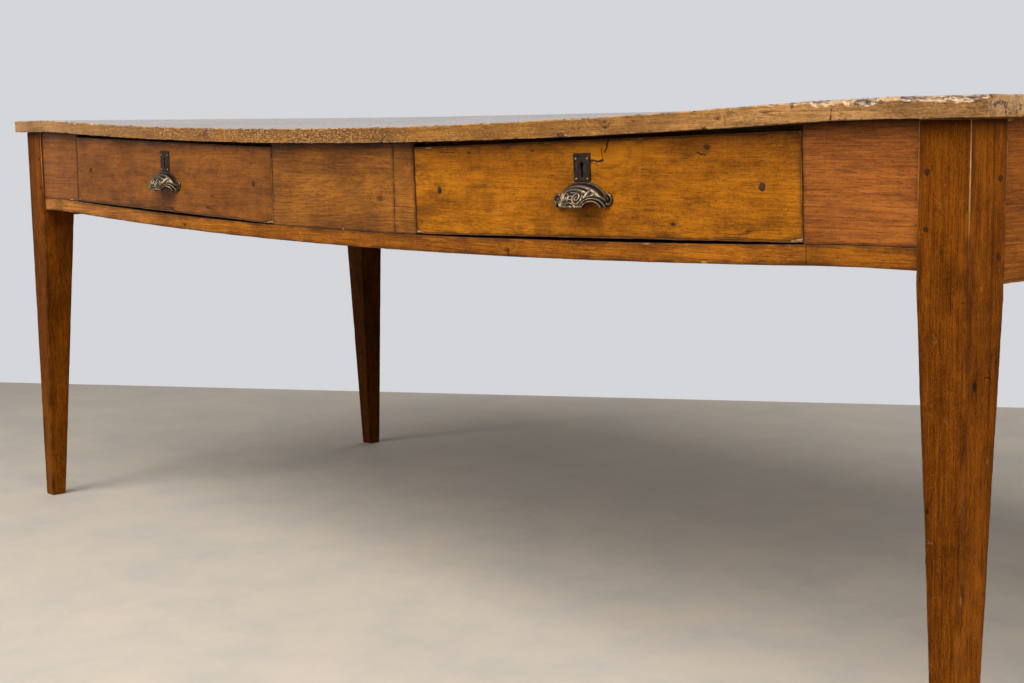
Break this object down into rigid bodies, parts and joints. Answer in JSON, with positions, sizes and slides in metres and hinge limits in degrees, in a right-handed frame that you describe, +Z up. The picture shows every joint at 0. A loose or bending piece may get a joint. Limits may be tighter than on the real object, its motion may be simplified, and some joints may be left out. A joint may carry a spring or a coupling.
{
  "type": "kitchen table with drawers",
  "caption": "Long plank-topped farmhouse table with square tapered legs, a pegged frame that sags at the front, and locking drawers with cup pulls.",
  "frame": {"origin": "on the floor under the middle of the table top", "axes": "+X along the table's length to the right, -Y out of the front with the drawers, +Z up"},
  "size_m": [2.286, 0.848, 0.76],
  "materials": {
    "top_wood": "worn wax",
    "leg_wood": "worn wax",
    "front_wood": "worn wax",
    "frame_wood": "worn wax",
    "inner_wood": "bare",
    "peg_wood": "dark, worn",
    "iron": "dark patina",
    "bronze": "dark cast metal with worn high spots"
  },
  "bodies": {
    "table": {"top_board_1": "top_wood", "top_board_2": "top_wood", "top_board_3": "top_wood", "top_board_4": "top_wood", "top_pegs": "peg_wood", "front_left_leg": "leg_wood", "front_right_leg": "leg_wood", "rear_left_leg": "leg_wood", "rear_right_leg": "leg_wood", "left_end_block": "front_wood", "right_end_block": "front_wood", "centre_block": "front_wood", "centre_strip": "front_wood", "front_rail": "front_wood", "top_rail": "frame_wood", "back_apron": "frame_wood", "left_apron": "frame_wood", "right_apron": "frame_wood", "joint_pegs": "peg_wood", "left_drawer_left_runner": "inner_wood", "left_drawer_right_runner": "inner_wood", "left_drawer_guides": "inner_wood", "left_drawer_kickers": "inner_wood", "right_drawer_left_runner": "inner_wood", "right_drawer_right_runner": "inner_wood", "right_drawer_guides": "inner_wood", "right_drawer_kickers": "inner_wood"},
    "left_drawer": {"left_drawer_front": "front_wood", "left_drawer_left_side": "inner_wood", "left_drawer_right_side": "inner_wood", "left_drawer_back": "inner_wood", "left_drawer_bottom": "inner_wood", "left_drawer_plugs": "peg_wood", "left_keyhole_plate": "iron", "left_keyhole_plate_nails": "iron", "left_cup_pull": "bronze", "left_cup_pull_screws": "iron", "left_lock_plate": "iron", "left_lock_case": "iron", "left_lock_screws": "iron"},
    "left_lock_bolt": {"left_lock_bolt": "iron"},
    "right_drawer": {"right_drawer_front": "front_wood", "right_drawer_left_side": "inner_wood", "right_drawer_right_side": "inner_wood", "right_drawer_back": "inner_wood", "right_drawer_bottom": "inner_wood", "right_drawer_plugs": "peg_wood", "right_keyhole_plate": "iron", "right_keyhole_plate_nails": "iron", "right_cup_pull": "bronze", "right_cup_pull_screws": "iron", "right_lock_plate": "iron", "right_lock_case": "iron", "right_lock_screws": "iron"},
    "right_lock_bolt": {"right_lock_bolt": "iron"}
  },
  "joints": [
    {"name": "left_drawer_slide", "type": "slide", "parent": "table", "child": "left_drawer", "axis": [0, -1, 0], "range_m": [0, 0.4]},
    {"name": "left_bolt_slide", "type": "slide", "parent": "left_drawer", "child": "left_lock_bolt", "axis": [0.0261, 0, 0.9997], "range_m": [0, 0.008]},
    {"name": "right_drawer_slide", "type": "slide", "parent": "table", "child": "right_drawer", "axis": [0, -1, 0], "range_m": [0, 0.4]},
    {"name": "right_bolt_slide", "type": "slide", "parent": "right_drawer", "child": "right_lock_bolt", "axis": [-0.0262, 0, 0.9997], "range_m": [0, 0.008]}
  ]
}
